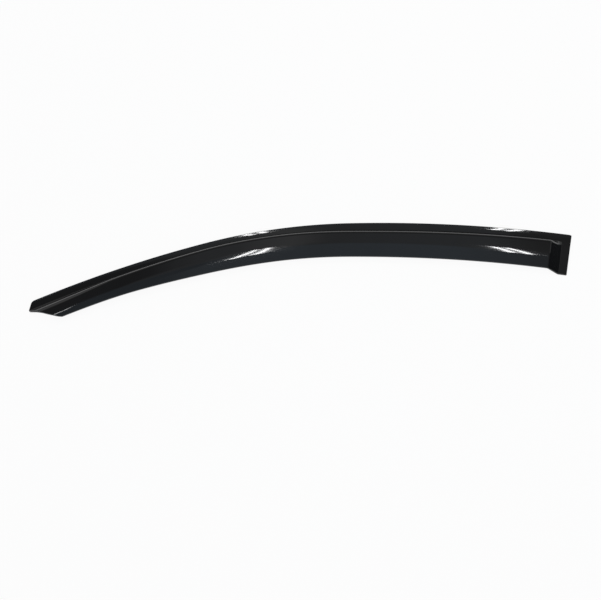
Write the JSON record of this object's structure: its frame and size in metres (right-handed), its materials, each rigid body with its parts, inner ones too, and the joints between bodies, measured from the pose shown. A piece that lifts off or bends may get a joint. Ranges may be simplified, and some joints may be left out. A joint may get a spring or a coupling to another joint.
{
  "type": "window rain deflector",
  "caption": "Dark smoked window rain deflector for a front door, arched to the door frame, with a raised blade, a pointed front end, a stepped rear foot and adhesive tape behind its flange",
  "frame": {"origin": "on the release film's back face, where the rail tape's middle line passes the crest of the arch", "axes": "+X runs back along the door to the foot, +Y points up to the roof, +Z points away from the door"},
  "size_m": [0.9156, 0.1902, 0.0188],
  "materials": {
    "smoked_acrylic": "polished dark smoked acrylic",
    "foam_tape": "matt closed-cell foam",
    "release_film": "smooth thin plastic film"
  },
  "bodies": {
    "root": {"shield": "smoked_acrylic", "tape_rail": "foam_tape", "film_rail": "release_film", "tape_foot": "foam_tape", "film_foot": "release_film"}
  },
  "joints": []
}
